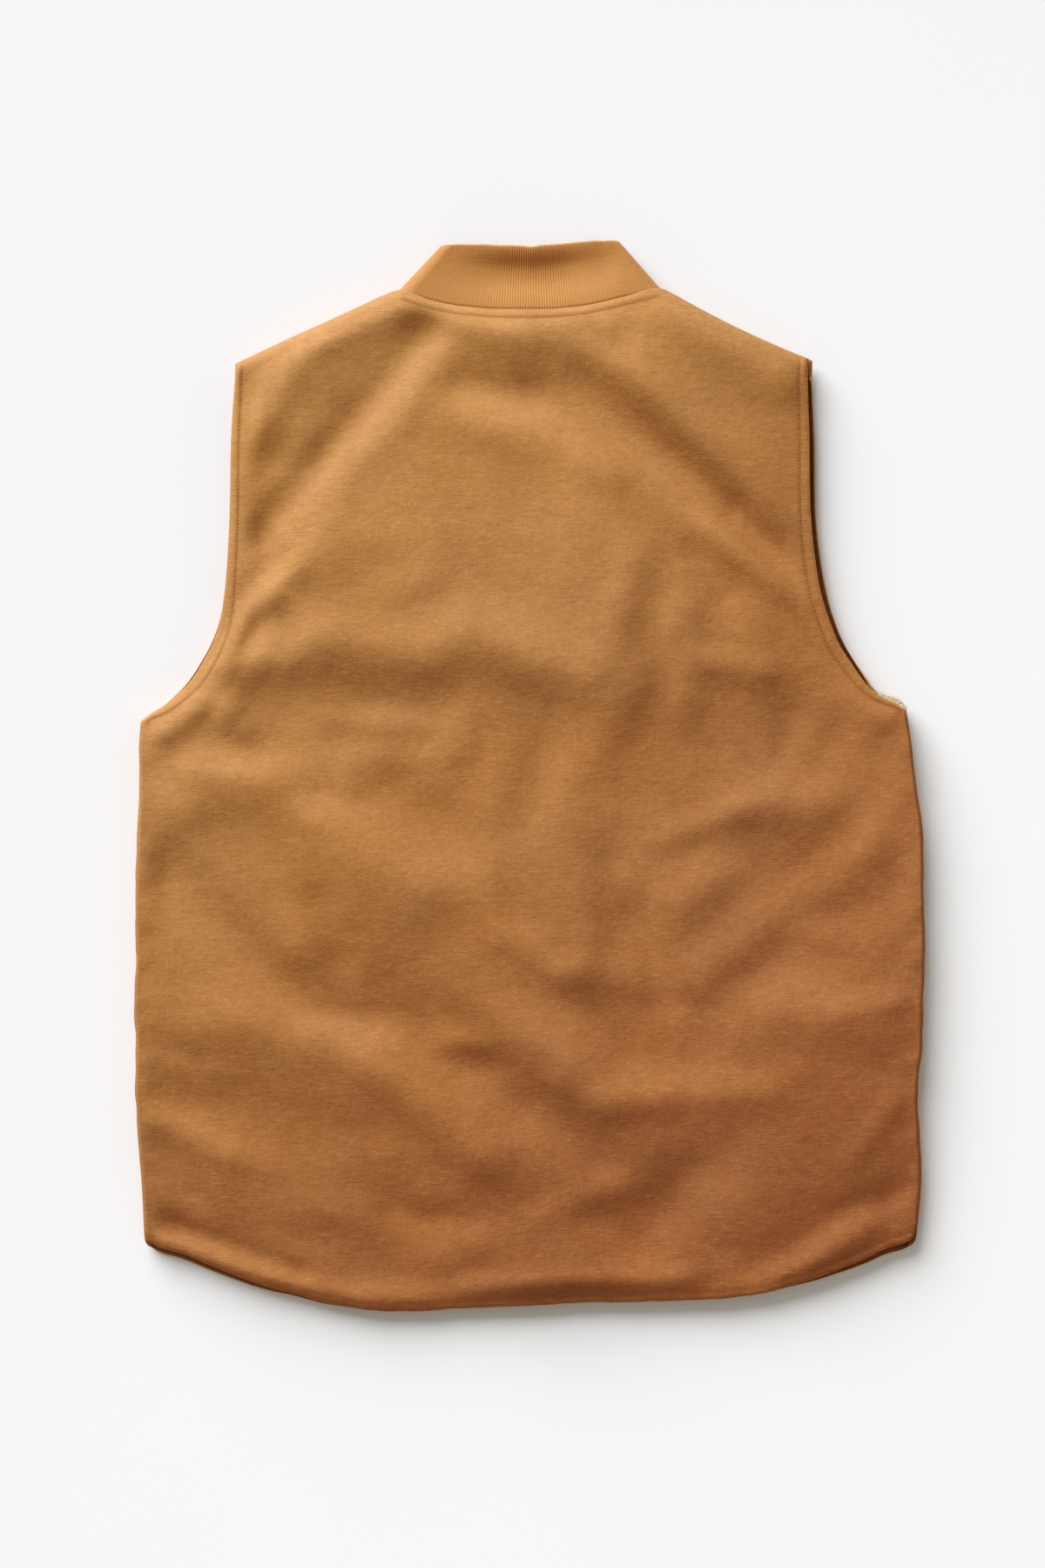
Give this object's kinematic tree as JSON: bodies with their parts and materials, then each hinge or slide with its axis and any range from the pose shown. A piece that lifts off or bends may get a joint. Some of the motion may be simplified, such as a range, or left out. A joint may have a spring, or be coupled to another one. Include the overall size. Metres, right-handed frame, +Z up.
{
  "type": "work vest",
  "caption": "Sleeveless padded canvas work vest with a rib-knit mock neck, zipped up and lying face down, open at the neck, armholes and hem.",
  "frame": {"origin": "On the surface the vest lies on, under the middle of its outline.", "axes": "+Y from the hem to the collar, +X to the wearer's right as the vest lies face down, +Z up from the surface, out of the back panel."},
  "size_m": [0.5676, 0.7702, 0.0318],
  "materials": {
    "canvas_back": "brown duck canvas, soft and slightly washed",
    "canvas_front": "brown duck canvas, soft and slightly washed",
    "rib_knit": "rib-knit acrylic in the canvas's brown",
    "zip": "dull brass chain on brown cloth tape",
    "lining": "pale brushed inner cloth"
  },
  "bodies": {
    "root": {"back_panel": "canvas_back", "front_panel_left": "canvas_front", "front_panel_right": "canvas_front", "collar": "rib_knit", "front_zip": "zip", "underarm_lining": "lining"}
  },
  "joints": []
}
